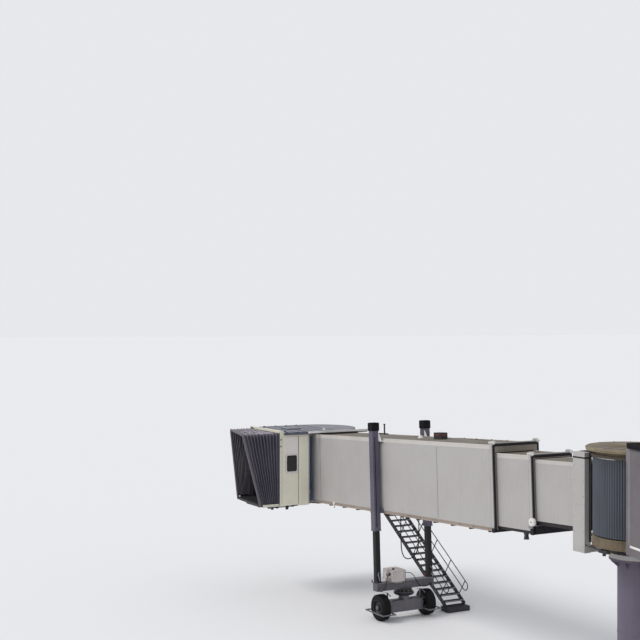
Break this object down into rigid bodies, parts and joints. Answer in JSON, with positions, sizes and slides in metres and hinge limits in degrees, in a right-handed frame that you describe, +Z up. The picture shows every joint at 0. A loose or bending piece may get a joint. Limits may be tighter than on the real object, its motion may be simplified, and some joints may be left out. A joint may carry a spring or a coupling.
{
  "type": "apron passenger boarding bridge",
  "caption": "Apron-drive passenger boarding bridge: column-mounted rotunda, three telescoping tunnels, lift columns on a two-wheel bogie, turning cab with folding canopy and a service stair.",
  "frame": {"origin": "on the ground, at the middle of the rotunda column's base plate", "axes": "+X along the tunnels towards the cab, +Y towards the side that the cab faces, +Z up"},
  "size_m": [27.4202, 8.0448, 8.779],
  "materials": {
    "column_paint": "satin paint, weathered",
    "floor_ring_paint": "weathered cream paint",
    "roof_sheet": "dirty matt roof sheet",
    "corridor_cladding": "matt grey cladding",
    "roof_cap": "dark matt cap",
    "wall_paint": "satin white paint, weathered",
    "sill_paint": "beige paint, dirty",
    "underframe": "dark primer",
    "lift_paint": "blue-grey paint",
    "ram_steel": "greased dark steel",
    "box_paint": "off-white box",
    "bogie_paint": "grey paint",
    "tyre": "matt rubber",
    "stair_steel": "dark grey paint",
    "cab_paint": "cream paint",
    "cab_roof_paint": "blue-grey sheet",
    "cab_underframe": "grey paint",
    "curtain_slats": "blue-grey slats",
    "cable_rubber": "matt black rubber",
    "window_glass": "dark tinted glass",
    "canopy_fabric": "charcoal coated fabric",
    "hoop_padding": "dark padded edge"
  },
  "bodies": {
    "rotunda": {"rotunda_column": "column_paint", "rotunda_floor": "floor_ring_paint", "rotunda_roof": "roof_sheet", "corridor_floor": "corridor_cladding", "corridor_walls": "corridor_cladding", "corridor_roof": "roof_cap", "corridor_end_frame": "corridor_cladding"},
    "portal": {"portal_frame": "wall_paint", "rotunda_curtains": "curtain_slats"},
    "tunnel_a": {"tunnel_a_floor": "underframe", "tunnel_a_walls": "wall_paint", "tunnel_a_roof": "roof_sheet"},
    "tunnel_b": {"tunnel_b_floor": "underframe", "tunnel_b_walls": "wall_paint", "tunnel_b_roof": "roof_sheet", "tunnel_b_end_frame": "wall_paint"},
    "tunnel_c": {"tunnel_c_floor": "sill_paint", "tunnel_c_near_wall": "wall_paint", "tunnel_c_far_wall": "wall_paint", "tunnel_c_roof": "roof_sheet", "tunnel_c_end_frame": "wall_paint", "service_door": "wall_paint", "lift_sleeves": "lift_paint", "stair_landing": "stair_steel", "cable_loop": "cable_rubber"},
    "stair": {"stair_flight": "stair_steel", "stair_rails": "stair_steel"},
    "lift": {"lift_rams": "ram_steel", "crossbeam": "lift_paint", "control_box": "box_paint", "near_cable": "cable_rubber", "far_cable": "cable_rubber"},
    "bogie": {"bogie_frame": "bogie_paint", "wheel_guards": "bogie_paint"},
    "near_wheel": {"near_wheel": "tyre"},
    "far_wheel": {"far_wheel": "tyre"},
    "cab": {"cab_floor": "cab_underframe", "cab_left_wall": "cab_paint", "cab_right_wall": "cab_paint", "cab_windows": "window_glass", "cab_roof": "cab_roof_paint", "cab_front_frame": "cab_paint", "cab_curtains": "curtain_slats", "canopy_bellows": "canopy_fabric"},
    "canopy": {"canopy_hoop": "hoop_padding"}
  },
  "joints": [
    {"name": "rotunda_swing", "type": "hinge", "parent": "rotunda", "child": "portal", "pos_m": [0, 0, 5], "axis": [0, 0, 1], "range_deg": [-102, 72], "deforming": ["rotunda_curtains"]},
    {"name": "tunnel_pitch", "type": "hinge", "parent": "portal", "child": "tunnel_a", "pos_m": [1.5, 0, 5.47], "axis": [0, 1, 0], "range_deg": [-5, 2.8]},
    {"name": "b_slide", "type": "slide", "parent": "tunnel_a", "child": "tunnel_b", "axis": [0.9987, 0, -0.0506], "range_m": [-1.2, 7.5]},
    {"name": "c_slide", "type": "slide", "parent": "tunnel_b", "child": "tunnel_c", "axis": [0.9987, 0, -0.0506], "range_m": [-1.2, 7.5]},
    {"name": "column_lift", "type": "slide", "parent": "tunnel_c", "child": "lift", "axis": [-0.0506, 0, -0.9987], "range_m": [-0.6, 1.07]},
    {"name": "bogie_yaw", "type": "hinge", "parent": "lift", "child": "bogie", "pos_m": [13.73127, 0, 1.2], "axis": [0, 0, 1], "range_deg": [-90, 90]},
    {"name": "near_wheel_spin", "type": "hinge", "parent": "bogie", "child": "near_wheel", "pos_m": [13.73127, 1.135, 0.55], "axis": [0, 1, 0], "continuous": true},
    {"name": "far_wheel_spin", "type": "hinge", "parent": "bogie", "child": "far_wheel", "pos_m": [13.73127, -1.135, 0.55], "axis": [0, 1, 0], "continuous": true},
    {"name": "stair_pitch", "type": "hinge", "parent": "tunnel_c", "child": "stair", "pos_m": [19.59793, 0, 4.34288], "axis": [0, 1, 0], "range_deg": [-11.5, 6.5]},
    {"name": "cab_turn", "type": "hinge", "parent": "tunnel_c", "child": "cab", "pos_m": [21.19646, 0, 4.25047], "axis": [0, 0, 1], "range_deg": [-122.5, 2.5], "deforming": ["cab_curtains"]},
    {"name": "canopy_fold", "type": "hinge", "parent": "cab", "child": "canopy", "pos_m": [21.19646, 3.75, 4.23047], "axis": [-0.9959, 0.0906, 0], "range_deg": [-15, 6], "deforming": ["canopy_bellows"]}
  ],
  "couplings": [
    {"joint": "c_slide", "follows": "b_slide", "ratio": 1},
    {"joint": "column_lift", "follows": "tunnel_pitch", "m_per_rad": -12.1},
    {"joint": "stair_pitch", "follows": "tunnel_pitch", "ratio": 2.3}
  ]
}
